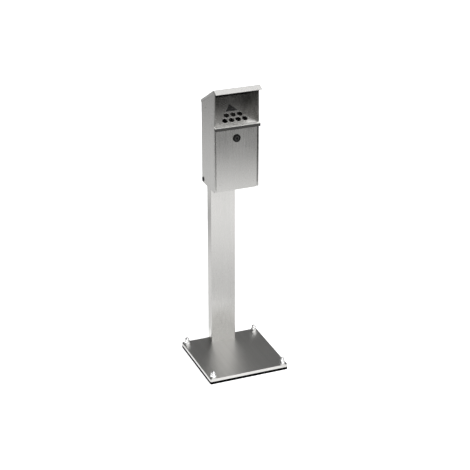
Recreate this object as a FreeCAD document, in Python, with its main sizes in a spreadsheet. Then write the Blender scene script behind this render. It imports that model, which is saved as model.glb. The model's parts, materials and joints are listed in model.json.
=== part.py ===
"""Free-standing ashtray bin: a hood box with a tilting, lockable bin on a rectangular post and a heavy base.

Millimetres, +Z up, origin on the floor at the centre of the base. The open front of the head faces -Y.
The spreadsheet "sizes" holds the driving dimensions; the variable set "places" holds what follows from them.
"""
import FreeCAD, Part
import math
import os
import re
import Sketcher

Vector = FreeCAD.Vector
ALONG_X = Vector(1, 0, 0)
ALONG_Y = Vector(0, 1, 0)
ALONG_Z = Vector(0, 0, 1)
SIDES = {"left": -1, "right": 1}

SIZES = {
    # base
    "base_side": 300,
    "base_corner_radius": 5,
    "base_edge_chamfer": 1,
    "base_plate_thickness": 10,
    "rubber_thickness": 10,
    "base_bolt_inset": 16,
    "base_bolt_radius": 6,
    "base_bolt_head_radius": 11,
    "base_bolt_head_height": 5,
    "head_recess_clearance": 1,
    "bolt_hole_clearance": 0.5,
    "washer_radius": 12,
    "washer_thickness": 2.5,
    "cap_nut_width": 19,
    "cap_nut_hex_height": 10,
    "cap_nut_height": 22,
    "cap_nut_dome_radius": 8.5,
    "thread_clearance": 0.1,
    # post
    "post_width": 95,
    "post_depth": 36,
    "post_wall": 2,
    "post_corner_radius": 3,
    "post_rear_inset": 9,
    "post_top_drop": 43,
    "post_cap_thickness": 3,
    "post_cap_plug_depth": 14,
    "plug_clearance": 0.3,
    "foot_block_height": 12,
    "foot_screw_spacing": 50,
    "foot_screw_radius": 4,
    "foot_screw_head_radius": 8,
    "foot_screw_head_depth": 4,
    # bracket between post and head
    "bracket_depth": 10,
    "bracket_wall": 2,
    "bracket_side_inset": 6,
    "bracket_flange_width": 16,
    "bracket_end_gap": 5,
    "bracket_rise": 38,
    "screw_radius": 3,
    "screw_head_radius": 5.5,
    "screw_head_height": 3.2,
    "screw_hole_clearance": 0.3,
    "rivet_nut_radius": 4.5,
    "rivet_nut_length": 12,
    "clinch_nut_radius": 5,
    "clinch_nut_height": 4,
    "screw_end_inset": 16,
    "head_screw_rise": 22,
    # head
    "head_clearance": 682,
    "head_width": 167,
    "head_depth": 120,
    "head_height": 374,
    "sheet_thickness": 1.5,
    "bend_radius": 2.5,
    "inner_bend_radius": 1,
    "front_flange_width": 5,
    "roof_slope": 30,
    "roof_lip_reach": 22.5,
    "roof_lip_drop": 9,
    "roof_hem_length": 5,
    "roof_side_flange": 8,
    "roof_rear_flange": 8,
    # stub plate
    "mouth_height": 132.5,
    "plate_slope": 35.5,
    "plate_roof_gap": 2.5,
    "plate_side_gap": 0.4,
    "nose_reach": 11.3,
    "nose_shelf_slope": 8,
    "nose_face_height": 11.8,
    "nose_face_lean": 0.5,
    "nose_bend_radius": 1.8,
    "strike_setback": 18,
    "strike_height": 15,
    "strike_side_gap": 2.5,
    "plate_flange_depth": 18,
    "shelf_cut_clearance": 0.1,
    "stub_hole_radius": 9.5,
    "stub_hole_pitch": 24.5,
    "first_hole_row": 20.9,
    "hole_row_spacing": 21.2,
    "pad_width": 56,
    "pad_height": 36,
    "pad_start": 54.1,
    "pad_corner_radius": 2,
    "pad_thickness": 1.6,
    "pad_rim": 2.5,
    "pad_recess": 0.9,
    "rivet_inset": 20,
    "rivet_drop": 12,
    "rivet_radius": 2,
    "rivet_head_radius": 3.6,
    "rivet_head_height": 1,
    # bin and its front
    "front_gap": 2,
    "front_lower_gap": 1,
    "front_upper_gap": 2.5,
    "front_return": 12,
    "front_rivet_side_inset": 12,
    "front_rivet_low_inset": 20,
    "front_rivet_top_inset": 15,
    "bin_wall": 1.2,
    "bin_side_clearance": 0.2,
    "bin_floor_rise": 6,
    "bin_rear_gap": 3.5,
    "bin_lock_clearance": 36,
    "bin_stop_width": 24,
    "stop_clearance": 0.3,
    "tilt_limit": 50,
    "pivot_inset": 13,
    "pivot_rise": 13,
    "pin_radius": 4,
    "pin_neck_radius": 3,
    "pin_head_radius": 4.8,
    "pin_end_gap": 0.5,
    "running_clearance": 0.05,
    "bush_barrel_radius": 6.2,
    "bush_flange_radius": 8,
    "bush_flange_thickness": 1.6,
    "bush_length": 6,
    "bush_end_wall": 1,
    # lock
    "lock_drop": 49.5,
    "lock_face_radius": 14,
    "lock_face_thickness": 3,
    "lock_face_rounding": 1.2,
    "lock_barrel_radius": 11,
    "lock_barrel_clearance": 0.2,
    "lock_nut_width": 27,
    "lock_nut_thickness": 5,
    "insert_radius": 8,
    "insert_face_inset": 0.4,
    "insert_square": 8,
    "moat_depth": 1.2,
    "key_socket_side": 8,
    "key_socket_depth": 7,
    "cam_gap": 0.5,
    "cam_length": 30,
    "cam_width": 16,
    "cam_thickness": 3,
    "cam_screw_radius": 2.5,
    "cam_screw_length": 9,
    "cam_washer_radius": 7,
    "cam_washer_thickness": 1.2,
    "cam_screw_head_radius": 4.6,
    "cam_screw_head_height": 3.5,
}

PLACES = {
    # base and post, from the floor up
    "base_top": "rubber_thickness + base_plate_thickness",
    "bolt_offset": "base_side / 2 - base_bolt_inset",
    "base_bolt_hole": "base_bolt_radius + bolt_hole_clearance",
    "nut_seat": "base_top + washer_thickness",
    "cap_nut_thread_depth": "cap_nut_hex_height - 1",
    "post_back": "base_side / 2 - post_rear_inset",
    "post_front": "post_back - post_depth",
    "post_middle": "post_back - post_depth / 2",
    # head, from its back to its front
    "head_back": "post_front - bracket_depth",
    "head_front": "head_back - head_depth",
    "back_inside": "head_back - sheet_thickness",
    "front_inside": "head_front + sheet_thickness",
    "half_width": "head_width / 2",
    "half_inside": "half_width - sheet_thickness",
    "flange_edge": "half_width - front_flange_width",
    "head_bottom": "head_clearance",
    "peak": "head_bottom + head_height",
    "roof_drop": "head_depth * tan(roof_slope)",
    "roof_sheet_rise": "sheet_thickness / cos(roof_slope)",
    "back_top": "peak - roof_drop",
    "post_top": "back_top - post_top_drop",
    "bracket_top": "post_top - bracket_end_gap",
    "bracket_bottom": "head_bottom + bracket_rise",
    "bracket_screw_low": "bracket_bottom + screw_end_inset",
    "bracket_screw_high": "bracket_top - screw_end_inset",
    "bracket_web_width": "post_width - 2 * (bracket_flange_width + bracket_side_inset)",
    "bracket_screw_side": "bracket_web_width / 2 + bracket_flange_width / 2",
    "screw_hole": "screw_radius + screw_hole_clearance",
    # stub plate
    "sill": "peak - mouth_height",
    "plate_sheet_rise": "sheet_thickness / cos(plate_slope)",
    "shelf_sheet_rise": "sheet_thickness / cos(nose_shelf_slope)",
    "sill_bend": "(plate_sheet_rise - shelf_sheet_rise) / (tan(plate_slope) - tan(nose_shelf_slope))",
    "sill_under_z": "sill + sill_bend * tan(plate_slope) - plate_sheet_rise",
    "nose_y": "head_front - nose_reach",
    "nose_z": "sill - nose_reach * tan(nose_shelf_slope)",
    "nose_foot_y": "nose_y - nose_face_lean",
    "nose_foot_z": "nose_z - nose_face_height",
    "nose_back_z": "nose_z + sheet_thickness * tan(nose_shelf_slope) - shelf_sheet_rise",
    "shelf_top": "nose_foot_z + sheet_thickness",
    "roof_over_sill": "peak - roof_sheet_rise - plate_roof_gap - sill",
    "plate_run": "roof_over_sill / (tan(roof_slope) + tan(plate_slope))",
    "plate_end_y": "head_front + plate_run",
    "plate_end_z": "sill + plate_run * tan(plate_slope)",
    "strike_front": "head_front + strike_setback",
    "strike_back": "strike_front + sheet_thickness",
    "strike_low": "nose_foot_z - strike_height",
    "strike_half": "front_half - sheet_thickness - strike_side_gap",
    "plate_half": "half_inside - plate_side_gap",
    "neck_half": "flange_edge - plate_side_gap",
    "front_rivet_y": "head_front + rivet_inset",
    "front_rivet_z": "sill + (front_rivet_y - head_front) * tan(plate_slope) - plate_sheet_rise - rivet_drop",
    "rear_rivet_y": "plate_end_y - rivet_inset",
    "rear_rivet_z": "sill + (rear_rivet_y - head_front) * tan(plate_slope) - plate_sheet_rise - rivet_drop",
    "pad_base_angle": "atan(2 * pad_height / pad_width)",
    # front and bin
    "front_half": "flange_edge - front_gap",
    "front_top": "nose_foot_z - front_upper_gap",
    "front_low": "head_bottom + front_lower_gap",
    "bin_half": "front_half - sheet_thickness - bin_side_clearance",
    "bin_front": "head_front + sheet_thickness",
    "bin_back": "back_inside - bin_rear_gap",
    "bin_floor": "head_bottom + bin_floor_rise",
    "lock_z": "sill - lock_drop",
    "bin_top": "lock_z - bin_lock_clearance",
    "pivot_y": "head_back - pivot_inset",
    "pivot_z": "head_bottom + pivot_rise",
    "bore_radius": "pin_radius + running_clearance",
    "bush_inner": "half_width - bush_length",
    "bush_outer": "half_width + bush_flange_thickness",
    "bore_end": "bush_outer - bush_end_wall",
    "stop_offset": "bin_back - bin_wall - pivot_y",
    "stop_reach": "back_inside - stop_clearance - pivot_y",
    "stop_drop": "(stop_reach - (stop_offset + bin_wall) * cos(tilt_limit)) / sin(tilt_limit)",
    "head_screw_low": "bin_top + head_screw_rise",
    "head_screw_high": "bracket_top - screw_end_inset",
    # lock
    "lock_hole": "lock_barrel_radius + lock_barrel_clearance",
    "cam_front": "strike_back + cam_gap",
    "cam_back": "cam_front + cam_thickness",
    "lock_barrel_end": "strike_front - 1",
}

doc = FreeCAD.newDocument("ashtray_bin")
sizes = doc.addObject("Spreadsheet::Sheet", "sizes")
for row, (alias, value) in enumerate(SIZES.items(), start=1):
    sizes.set(f"A{row}", alias)
    sizes.set(f"B{row}", str(value))
    sizes.setAlias(f"B{row}", alias)
places = doc.addObject("App::VarSet", "places")


def bound(text):
    """An expression over plain names, with each name pointed at the sheet or at the places."""
    def owner(match):
        word = match.group(0)
        if word in SIZES:
            return "sizes." + word
        if word in PLACES:
            return "places." + word
        return word
    return re.sub(r"[a-z][a-z_]*", owner, text)


for place, formula in PLACES.items():
    places.addProperty("App::PropertyFloat", place)
for place, formula in PLACES.items():
    places.setExpression(place, bound(formula))
doc.recompute()

subparts = []


def size(alias):
    """The number held by a cell of the sheet or by a place."""
    return float(getattr(places, alias) if alias in PLACES else sizes.get(alias))


def bind(thing, **formulas):
    """Bind properties of an object to expressions over the sheet; x, y and z are its position."""
    for name, formula in formulas.items():
        target = f"Placement.Base.{name}" if name in ("x", "y", "z") else name
        thing.setExpression(target, bound(formula))
    return thing


def keep(thing, label):
    """Name a finished sub-part; its label is its node and file name."""
    thing.Label = label
    subparts.append(thing)
    return thing


# ---- PartDesign helpers ----

def new_body(label):
    return keep(doc.addObject("PartDesign::Body", "body_" + label), label)


def new_sketch(body, plane, offset="0"):
    """A sketch on one of the body's own origin planes, moved along the plane's normal by offset."""
    sketch = body.newObject("Sketcher::SketchObject", "sketch")
    support = next(item for item in body.Origin.OriginFeatures if item.Role == plane)
    sketch.AttachmentSupport = [(support, "")]
    sketch.MapMode = "FlatFace"
    sketch.setExpression("AttachmentOffset.Base.z", bound(offset))
    return sketch


def new_plate_sketch(body):
    """A sketch on the stub plate's upper face: x across, y up the slope, origin at the sill."""
    sketch = new_sketch(body, "XY_Plane")
    sketch.AttachmentOffset = FreeCAD.Placement(Vector(0, 0, 0), FreeCAD.Rotation(ALONG_X, 1))
    sketch.setExpression("AttachmentOffset.Base.y", bound("head_front"))
    sketch.setExpression("AttachmentOffset.Base.z", bound("sill"))
    sketch.setExpression("AttachmentOffset.Rotation.Angle", bound("plate_slope"))
    return sketch


def pin_point(sketch, line, end, x, y):
    """Fix one end of a line, or a circle's centre, by two dimensions from the sketch origin."""
    for kind, formula in (("DistanceX", x), ("DistanceY", y)):
        index = sketch.addConstraint(Sketcher.Constraint(kind, -1, 1, line, end, 1.0))
        sketch.setExpression(f"Constraints[{index}]", bound(formula))


def outline(sketch, points):
    """A closed outline of straight lines through the given (x, y) expressions."""
    first = sketch.GeometryCount
    count = len(points)
    for index in range(count):
        start = Vector(index, index * index, 0)
        end = Vector(index + 1, (index + 1) ** 2, 0)
        sketch.addGeometry(Part.LineSegment(start, end), False)
    for index in range(count):
        follower = first + (index + 1) % count
        sketch.addConstraint(Sketcher.Constraint("Coincident", first + index, 2, follower, 1))
    for index, (x, y) in enumerate(points):
        pin_point(sketch, first + index, 1, x, y)
    return sketch


def box_outline(sketch, x_low, x_high, y_low, y_high):
    return outline(sketch, [(x_low, y_low), (x_high, y_low), (x_high, y_high), (x_low, y_high)])


def round_outline(sketch, x, y, radius):
    circle = sketch.addGeometry(Part.Circle(Vector(0, 0, 0), ALONG_Z, 1), False)
    pin_point(sketch, circle, 3, x, y)
    index = sketch.addConstraint(Sketcher.Constraint("Radius", circle, 1.0))
    sketch.setExpression(f"Constraints[{index}]", bound(radius))
    return sketch


def pad(body, sketch, length, symmetric=False, backwards=False):
    feature = body.newObject("PartDesign::Pad", "pad")
    feature.Profile = sketch
    feature.SideType = "Symmetric" if symmetric else "One side"
    feature.Reversed = backwards
    bind(feature, Length=length)
    sketch.Visibility = False
    doc.recompute()
    return feature


def pocket(body, sketch, length, symmetric=False, backwards=False):
    """Cut the sketch into the body, and make sure that it took something away."""
    before = body.Shape.Volume
    feature = body.newObject("PartDesign::Pocket", "pocket")
    feature.Profile = sketch
    feature.SideType = "Symmetric" if symmetric else "One side"
    feature.Reversed = backwards
    bind(feature, Length=length)
    doc.recompute()
    assert body.Shape.Volume < before - 1e-6, f"{body.Label}: a pocket cut nothing"
    return feature


def edges_along(shape, direction, spots):
    """Names of straight edges along direction whose middle, seen along it, is at one of the spots."""
    names = []
    for number, edge in enumerate(shape.Edges, start=1):
        if edge.Curve.TypeId != "Part::GeomLine" or edge.tangentAt(0).cross(direction).Length > 1e-6:
            continue
        middle = edge.CenterOfMass
        flat = middle - direction * middle.dot(direction)
        if any((flat - spot).Length < 1e-3 for spot in spots):
            names.append(f"Edge{number}")
    return names


def dress(body, kind, edges, radius):
    """Fillet or chamfer named edges of the body's last feature."""
    assert edges, f"{body.Label}: no edge found for a {kind}"
    feature = body.newObject("PartDesign::" + kind, kind.lower())
    feature.Base = (body.Group[-2], edges)
    if kind == "Fillet":
        bind(feature, Radius=radius)
    else:
        bind(feature, Size=radius)
    doc.recompute()
    return feature


def round_upright_edges(body, spots, radius):
    """Fillet the upright edges that stand at the given (x, y) spots."""
    edges = edges_along(body.Shape, ALONG_Z, [Vector(x, y, 0) for x, y in spots])
    return dress(body, "Fillet", edges, radius)


def round_cross_edges(body, spots, radius):
    """Fillet the edges that run along X at the given (y, z) spots."""
    edges = edges_along(body.Shape, ALONG_X, [Vector(0, y, z) for y, z in spots])
    return dress(body, "Fillet", edges, radius)


# ---- primitive helpers ----

def cylinder(radius, length, axis, x="0", y="0", z="0"):
    """A cylinder that starts at (x, y, z) and runs along axis."""
    shape = doc.addObject("Part::Cylinder", "cylinder")
    shape.Placement.Rotation = FreeCAD.Rotation(ALONG_Z, axis)
    return bind(shape, Radius=radius, Height=length, x=x, y=y, z=z)


def block(x_low, x_high, y_low, y_high, z_low, z_high):
    shape = doc.addObject("Part::Box", "block")
    bind(shape, x=x_low, y=y_low, z=z_low)
    return bind(shape, Length=f"({x_high}) - ({x_low})", Width=f"({y_high}) - ({y_low})",
                Height=f"({z_high}) - ({z_low})")


def hexagon(width, length, axis, x="0", y="0", z="0"):
    """A hexagonal prism of the given width across its flats."""
    shape = doc.addObject("Part::Prism", "hexagon")
    shape.Polygon = 6
    shape.Placement.Rotation = FreeCAD.Rotation(ALONG_Z, axis)
    return bind(shape, Circumradius=f"({width}) / 2 / cos(30)", Height=length, x=x, y=y, z=z)


def fuse(*shapes):
    joined = doc.addObject("Part::MultiFuse", "fuse")
    joined.Shapes = list(shapes)
    joined.Refine = True
    doc.recompute()
    return joined


def cut(base, *tools):
    result = doc.addObject("Part::Cut", "cut")
    result.Base = base
    result.Tool = tools[0] if len(tools) == 1 else fuse(*tools)
    result.Refine = True
    doc.recompute()
    return result


def overlap(first, second):
    result = doc.addObject("Part::Common", "common")
    result.Base = first
    result.Tool = second
    doc.recompute()
    return result


def group(label, solids):
    """One node that holds several equal fasteners as separate solids."""
    node = doc.addObject("Part::Feature", "group_" + label)
    node.Shape = Part.makeCompound([solid.Shape.copy() for solid in solids])
    return keep(node, label)


# ---- base ----

def square_corners(half):
    return [(x * half, y * half) for x in (-1, 1) for y in (-1, 1)]


def base_slab(label, bottom, thickness):
    """A square slab with rounded corners, used for the plate and for the rubber below it."""
    body = new_body(label)
    half = "base_side / 2"
    sketch = box_outline(new_sketch(body, "XY_Plane", bottom), f"-{half}", half, f"-{half}", half)
    pad(body, sketch, thickness)
    round_upright_edges(body, square_corners(size("base_side") / 2), "base_corner_radius")
    return body


def four_round_cuts(body, height, radius, depth):
    """A round cut near each corner of the base, downwards from the given height."""
    sketch = new_sketch(body, "XY_Plane", height)
    for side_x in ("-", ""):
        for side_y in ("-", ""):
            round_outline(sketch, side_x + "bolt_offset", side_y + "bolt_offset", radius)
    return pocket(body, sketch, depth)


def foot_screw_cuts(body, height, radius, depth):
    """The two round cuts for the screws that hold the post's foot."""
    sketch = new_sketch(body, "XY_Plane", height)
    for side in ("-", ""):
        round_outline(sketch, side + "foot_screw_spacing / 2", "post_middle", radius)
    return pocket(body, sketch, depth)


def build_base_plate():
    body = base_slab("base_plate", "rubber_thickness", "base_plate_thickness")
    top = size("base_top")
    rim = [f"Edge{number}" for number, edge in enumerate(body.Shape.Edges, start=1)
           if abs(edge.BoundBox.ZMin - top) < 1e-6]
    dress(body, "Chamfer", rim, "base_edge_chamfer")
    four_round_cuts(body, "base_top", "base_bolt_hole", "base_plate_thickness")
    foot_screw_cuts(body, "base_top", "foot_screw_radius", "base_plate_thickness")
    foot_screw_cuts(body, "rubber_thickness + foot_screw_head_depth", "foot_screw_head_radius",
                    "foot_screw_head_depth")


def build_rubber_mat():
    body = base_slab("rubber_mat", "0", "rubber_thickness")
    four_round_cuts(body, "rubber_thickness", "base_bolt_hole", "rubber_thickness")
    four_round_cuts(body, "base_bolt_head_height + head_recess_clearance",
                    "base_bolt_head_radius + head_recess_clearance",
                    "base_bolt_head_height + head_recess_clearance")


def build_base_fasteners():
    """Bolt from below, washer and cap nut at each corner of the base."""
    corner = 0
    for side_x in ("-", ""):
        for side_y in ("-", ""):
            corner += 1
            x = side_x + "bolt_offset"
            y = side_y + "bolt_offset"
            head = cylinder("base_bolt_head_radius", "base_bolt_head_height", ALONG_Z, x, y,
                            "head_recess_clearance")
            shank_length = "nut_seat + cap_nut_thread_depth - head_recess_clearance"
            shank = cylinder("base_bolt_radius", shank_length, ALONG_Z, x, y, "head_recess_clearance")
            keep(fuse(head, shank), f"base_bolt_{corner}")
            disc = cylinder("washer_radius", "washer_thickness", ALONG_Z, x, y, "base_top")
            hole = cylinder("base_bolt_hole", "washer_thickness", ALONG_Z, x, y, "base_top")
            keep(cut(disc, hole), f"washer_{corner}")
            keep(cap_nut(x, y), f"cap_nut_{corner}")


def cap_nut(x, y):
    """Hexagon with bevelled corners and a domed closed top, threaded blind from below."""
    prism = hexagon("cap_nut_width", "cap_nut_hex_height", ALONG_Z, x, y, "nut_seat")
    bevel = doc.addObject("Part::Cone", "bevel")
    bind(bevel, Radius1="cap_nut_width * 0.75", Radius2="cap_nut_width / 2 - 0.3",
         Height="cap_nut_hex_height", x=x, y=y, z="nut_seat")
    lower = doc.addObject("Part::Cone", "lower_bevel")
    bind(lower, Radius1="cap_nut_width / 2", Radius2="cap_nut_width", Height="cap_nut_hex_height",
         x=x, y=y, z="nut_seat")
    hexagonal = overlap(overlap(prism, bevel), lower)
    neck = cylinder("cap_nut_dome_radius", "cap_nut_height - cap_nut_dome_radius", ALONG_Z, x, y,
                    "nut_seat")
    dome = doc.addObject("Part::Sphere", "dome")
    bind(dome, Radius="cap_nut_dome_radius", x=x, y=y, z="nut_seat + cap_nut_height - cap_nut_dome_radius")
    dome.Angle1 = 0
    thread = cylinder("base_bolt_radius + thread_clearance", "cap_nut_thread_depth", ALONG_Z, x, y,
                      "nut_seat")
    return cut(fuse(hexagonal, neck, dome), thread)


# ---- post ----

def rectangle_spots(half_x, y_low, y_high):
    return [(x, y) for x in (-half_x, half_x) for y in (y_low, y_high)]


def build_post_tube():
    body = new_body("post_tube")
    half = "post_width / 2"
    wall = "post_wall"
    outer = box_outline(new_sketch(body, "XY_Plane", "base_top"), f"-{half}", half, "post_front", "post_back")
    pad(body, outer, "post_top - base_top")
    round_upright_edges(body, rectangle_spots(size("post_width") / 2, size("post_front"), size("post_back")),
                        "post_corner_radius")
    inner = box_outline(new_sketch(body, "XY_Plane", "post_top"), f"-{half} + {wall}", f"{half} - {wall}",
                        f"post_front + {wall}", f"post_back - {wall}")
    pocket(body, inner, "post_top - base_top")
    bore_spots = rectangle_spots(size("post_width") / 2 - size("post_wall"),
                                 size("post_front") + size("post_wall"),
                                 size("post_back") - size("post_wall"))
    round_upright_edges(body, bore_spots, "post_corner_radius - post_wall + 0.5")
    holes = new_sketch(body, "XZ_Plane", "-post_front")
    for side in ("-", ""):
        for level in ("bracket_screw_low", "bracket_screw_high"):
            round_outline(holes, side + "bracket_screw_side", level, "rivet_nut_radius")
    pocket(body, holes, "post_wall")


def build_post_foot():
    """The thick block welded inside the post's foot, and the two screws that come up through the base."""
    gap = "post_wall + plug_clearance + 0.5"
    base = block(f"-post_width / 2 + {gap}", f"post_width / 2 - ({gap})", f"post_front + {gap}",
                 f"post_back - ({gap})", "base_top", "base_top + foot_block_height")
    bores = []
    screws = []
    for side in ("-", ""):
        x = side + "foot_screw_spacing / 2"
        bores.append(cylinder("foot_screw_radius + thread_clearance", "foot_block_height", ALONG_Z, x,
                              "post_middle", "base_top"))
        shank = cylinder("foot_screw_radius - thread_clearance",
                         "base_plate_thickness + foot_block_height - 1", ALONG_Z, x,
                         "post_middle", "rubber_thickness")
        head = doc.addObject("Part::Cone", "countersunk_head")
        bind(head, Radius1="foot_screw_head_radius - 0.2", Radius2="foot_screw_radius",
             Height="foot_screw_head_depth - 0.2", x=x, y="post_middle", z="rubber_thickness")
        screws.append(fuse(shank, head))
    keep(cut(base, *bores), "post_foot_block")
    group("post_foot_screws", screws)


def build_post_cap():
    """Plastic plug that closes the top of the tube."""
    body = new_body("post_cap")
    half = "post_width / 2"
    gap = "post_wall + plug_clearance"
    lid = box_outline(new_sketch(body, "XY_Plane", "post_top"), f"-{half}", half, "post_front", "post_back")
    pad(body, lid, "post_cap_thickness")
    round_upright_edges(body, rectangle_spots(size("post_width") / 2, size("post_front"), size("post_back")),
                        "post_corner_radius")
    plug = box_outline(new_sketch(body, "XY_Plane", "post_top"), f"-{half} + {gap}", f"{half} - ({gap})",
                       f"post_front + {gap}", f"post_back - ({gap})")
    pad(body, plug, "post_cap_plug_depth", backwards=True)
    plug_edges = rectangle_spots(size("post_width") / 2 - size("post_wall") - size("plug_clearance"),
                                 size("post_front") + size("post_wall") + size("plug_clearance"),
                                 size("post_back") - size("post_wall") - size("plug_clearance"))
    round_upright_edges(body, plug_edges, "post_corner_radius - post_wall + 0.5")
    inset = f"{gap} + post_wall"
    hollow = box_outline(new_sketch(body, "XY_Plane", "post_top - post_cap_plug_depth"),
                         f"-{half} + {inset}", f"{half} - ({inset})", f"post_front + {inset}",
                         f"post_back - ({inset})")
    pocket(body, hollow, "post_cap_plug_depth", backwards=True)


# ---- bracket and the screws that hold the head ----

def build_bracket():
    """Hat section: its web carries the head and its two flanges lie on the post."""
    body = new_body("mounting_bracket")
    web = "bracket_web_width / 2"
    rim = f"{web} + bracket_flange_width"
    front = "head_back"
    back = "post_front"
    wall = "bracket_wall"
    profile = [(f"-({rim})", f"{back} - {wall}"), (f"-{web}", f"{back} - {wall}"), (f"-{web}", front),
               (web, front), (web, f"{back} - {wall}"), (rim, f"{back} - {wall}"), (rim, back),
               (f"{web} - {wall}", back), (f"{web} - {wall}", f"{front} + {wall}"),
               (f"-{web} + {wall}", f"{front} + {wall}"), (f"-{web} + {wall}", back), (f"-({rim})", back)]
    sketch = outline(new_sketch(body, "XY_Plane", "bracket_bottom"), profile)
    pad(body, sketch, "bracket_top - bracket_bottom")
    half = size("bracket_web_width") / 2
    round_upright_edges(body, [(-half, size("head_back")), (half, size("head_back"))], "bracket_wall")
    flange_holes = new_sketch(body, "XZ_Plane", f"-({back} - {wall})")
    for side in ("-", ""):
        for level in ("bracket_screw_low", "bracket_screw_high"):
            round_outline(flange_holes, side + "bracket_screw_side", level, "screw_hole")
    pocket(body, flange_holes, wall)
    web_holes = new_sketch(body, "XZ_Plane", f"-{front}")
    for level in ("head_screw_low", "head_screw_high"):
        round_outline(web_holes, "0", level, "screw_hole")
    pocket(body, web_holes, wall)


def button_screw(head_seat, length, x, z):
    """Button-headed screw that enters along +Y, its head against head_seat."""
    head = cylinder("screw_head_radius", "screw_head_height", ALONG_Y, x,
                    f"{head_seat} - screw_head_height", z)
    shank = cylinder("screw_radius", length, ALONG_Y, x, head_seat, z)
    socket = hexagon("screw_radius * 1.3", "screw_head_height * 0.6", ALONG_Y, x,
                     f"{head_seat} - screw_head_height", z)
    return cut(fuse(head, shank), socket)


def threaded_sleeve(radius, length, start, x, z):
    body = cylinder(radius, length, ALONG_Y, x, start, z)
    bore = cylinder("screw_radius + thread_clearance", length, ALONG_Y, x, start, z)
    return cut(body, bore)


def build_bracket_fasteners():
    screws = []
    sleeves = []
    for side in ("-", ""):
        for level in ("bracket_screw_low", "bracket_screw_high"):
            x = side + "bracket_screw_side"
            screws.append(button_screw("post_front - bracket_wall", "rivet_nut_length", x, level))
            sleeves.append(threaded_sleeve("rivet_nut_radius", "rivet_nut_length", "post_front", x, level))
    group("bracket_screws", screws)
    group("rivet_nuts", sleeves)
    head_screws = []
    clinch_nuts = []
    for level in ("head_screw_low", "head_screw_high"):
        head_screws.append(button_screw("back_inside", "sheet_thickness + bracket_wall + clinch_nut_height",
                                        "0", level))
        clinch_nuts.append(threaded_sleeve("clinch_nut_radius", "clinch_nut_height",
                                           "head_back + bracket_wall", "0", level))
    group("head_screws", head_screws)
    group("clinch_nuts", clinch_nuts)


# ---- head ----

def build_body_shell():
    """Back and two sides folded from one sheet, with narrow flanges at the front."""
    body = new_body("body_shell")
    profile = [("-flange_edge", "head_front"), ("-half_width", "head_front"), ("-half_width", "head_back"),
               ("half_width", "head_back"), ("half_width", "head_front"), ("flange_edge", "head_front"),
               ("flange_edge", "front_inside"), ("half_inside", "front_inside"),
               ("half_inside", "back_inside"), ("-half_inside", "back_inside"),
               ("-half_inside", "front_inside"), ("-flange_edge", "front_inside")]
    sketch = outline(new_sketch(body, "XY_Plane", "head_bottom"), profile)
    pad(body, sketch, "head_height")
    round_upright_edges(body, rectangle_spots(size("half_width"), size("head_front"), size("head_back")),
                        "bend_radius")
    round_upright_edges(body, rectangle_spots(size("half_inside"), size("front_inside"), size("back_inside")),
                        "inner_bend_radius")
    above = [("head_front - 1", "peak - roof_sheet_rise + tan(roof_slope)"), ("head_front - 1", "peak + 1"),
             ("head_back + 1", "peak + 1"),
             ("head_back + 1", "back_top - roof_sheet_rise - tan(roof_slope)")]
    pocket(body, outline(new_sketch(body, "YZ_Plane"), above), "head_width + 10", symmetric=True)
    side_holes = new_sketch(body, "YZ_Plane")
    round_outline(side_holes, "pivot_y", "pivot_z", "bush_barrel_radius")
    for place in ("front", "rear"):
        round_outline(side_holes, f"{place}_rivet_y", f"{place}_rivet_z", "rivet_radius")
    pocket(body, side_holes, "head_width + 10", symmetric=True)
    back_holes = new_sketch(body, "XZ_Plane", "-back_inside")
    for level in ("head_screw_low", "head_screw_high"):
        round_outline(back_holes, "0", level, "screw_hole")
    pocket(body, back_holes, "sheet_thickness")


def build_roof():
    """Sloping cover with a forward drip lip and small flanges down the sides and the back."""
    body = new_body("roof")
    sheet = "sheet_thickness"
    rise = "roof_sheet_rise"
    lip_y = "head_front - roof_lip_reach"
    lip_z = "peak - roof_lip_drop"
    hem_y = f"{lip_y} + roof_hem_length"
    lip_slope = "roof_lip_drop / roof_lip_reach"
    hem_z = f"{lip_z} + roof_hem_length * {lip_slope} - 2 * {sheet}"
    out = f"head_back + {sheet}"
    profile = [("head_front", "peak"), (out, f"back_top - {sheet} * tan(roof_slope)"),
               (out, "back_top - roof_rear_flange - roof_sheet_rise"),
               ("head_back", "back_top - roof_rear_flange - roof_sheet_rise"),
               ("head_back", f"back_top - {rise}"),
               ("head_front", f"peak - {rise}"), (hem_y, f"{hem_z} + {sheet}"), (hem_y, hem_z),
               (lip_y, f"{lip_z} - 2 * {sheet}"), (lip_y, lip_z)]
    pad(body, outline(new_sketch(body, "YZ_Plane"), profile), f"head_width + 2 * {sheet}", symmetric=True)
    bends = [(size("head_front"), size("peak")),
             (size("head_back") + size(sheet), size("back_top") - size(sheet) * math.tan(
                 math.radians(size("roof_slope"))))]
    round_cross_edges(body, bends, "bend_radius")
    lip_edges = [(size("head_front") - size("roof_lip_reach"), size("peak") - size("roof_lip_drop")),
                 (size("head_front") - size("roof_lip_reach"),
                  size("peak") - size("roof_lip_drop") - 2 * size(sheet))]
    round_cross_edges(body, lip_edges, f"{sheet} * 0.8")
    strip = [("front_inside", f"peak - {rise} - sheet_thickness * tan(roof_slope)"),
             (out, f"back_top - {rise} - {sheet} * tan(roof_slope)"),
             (out, f"back_top - {rise} - {sheet} * tan(roof_slope) - roof_side_flange"),
             ("front_inside", f"peak - {rise} - sheet_thickness * tan(roof_slope) - roof_side_flange")]
    for side in ("-", ""):
        flange = outline(new_sketch(body, "YZ_Plane", side + "half_width"), strip)
        pad(body, flange, sheet, backwards=side == "-")
    corners = edges_along_slope(body.Shape)
    dress(body, "Fillet", corners, f"{sheet} * 0.9")


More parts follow.
